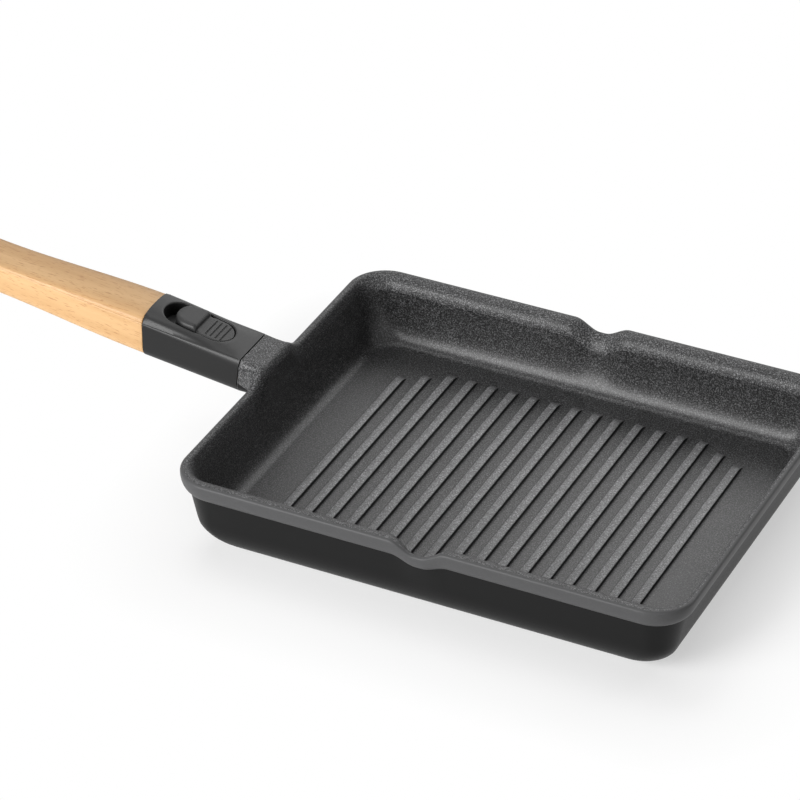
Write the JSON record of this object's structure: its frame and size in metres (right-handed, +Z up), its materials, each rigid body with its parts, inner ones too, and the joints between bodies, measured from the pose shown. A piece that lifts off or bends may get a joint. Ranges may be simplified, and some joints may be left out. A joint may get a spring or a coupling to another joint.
{
  "type": "grill pan with detachable handle",
  "caption": "Rectangular cast grill pan with a ribbed floor, pour spouts and a wooden handle that clicks off by a thumb slide.",
  "frame": {"origin": "centre of the pan's base, on the surface it stands on", "axes": "+Z up, the handle points towards -X, the pour spouts are in the +Y and -Y walls"},
  "size_m": [0.4834, 0.22, 0.0779],
  "materials": {
    "coating": "cast aluminium with a dark speckled non-stick coating",
    "steel": "brushed",
    "spring_steel": "bright",
    "brass": "turned",
    "moulding": "fine satin",
    "slide_moulding": "satin",
    "beech": "oiled beech"
  },
  "bodies": {
    "pan": {"pan_body": "coating", "induction_plate": "steel"},
    "handle": {"ferrule": "moulding", "ferrule_cover": "moulding", "socket_liner": "steel", "latch_leaf": "spring_steel", "grip": "beech", "grip_bolt": "steel", "bolt_washer": "steel", "grip_insert": "brass", "cover_screw_left": "steel", "cover_screw_right": "steel", "leaf_screw_left": "steel", "leaf_screw_right": "steel", "slide_spring_left": "spring_steel", "slide_spring_right": "spring_steel"},
    "thumb_slide": {"thumb_slide": "slide_moulding", "slide_shoe": "moulding", "slide_screw": "steel"}
  },
  "joints": [
    {"name": "handle_release", "type": "slide", "parent": "pan", "child": "handle", "axis": [-0.993, 0, 0.1184], "range_m": [0, 0.036]},
    {"name": "thumb_slide", "type": "slide", "parent": "handle", "child": "thumb_slide", "axis": [-0.993, 0, 0.1184], "range_m": [0, 0.006], "stiffness_N_per_m": 400, "springref_m": -0.005, "deforming": ["slide_spring_left", "slide_spring_right", "latch_leaf"]}
  ]
}
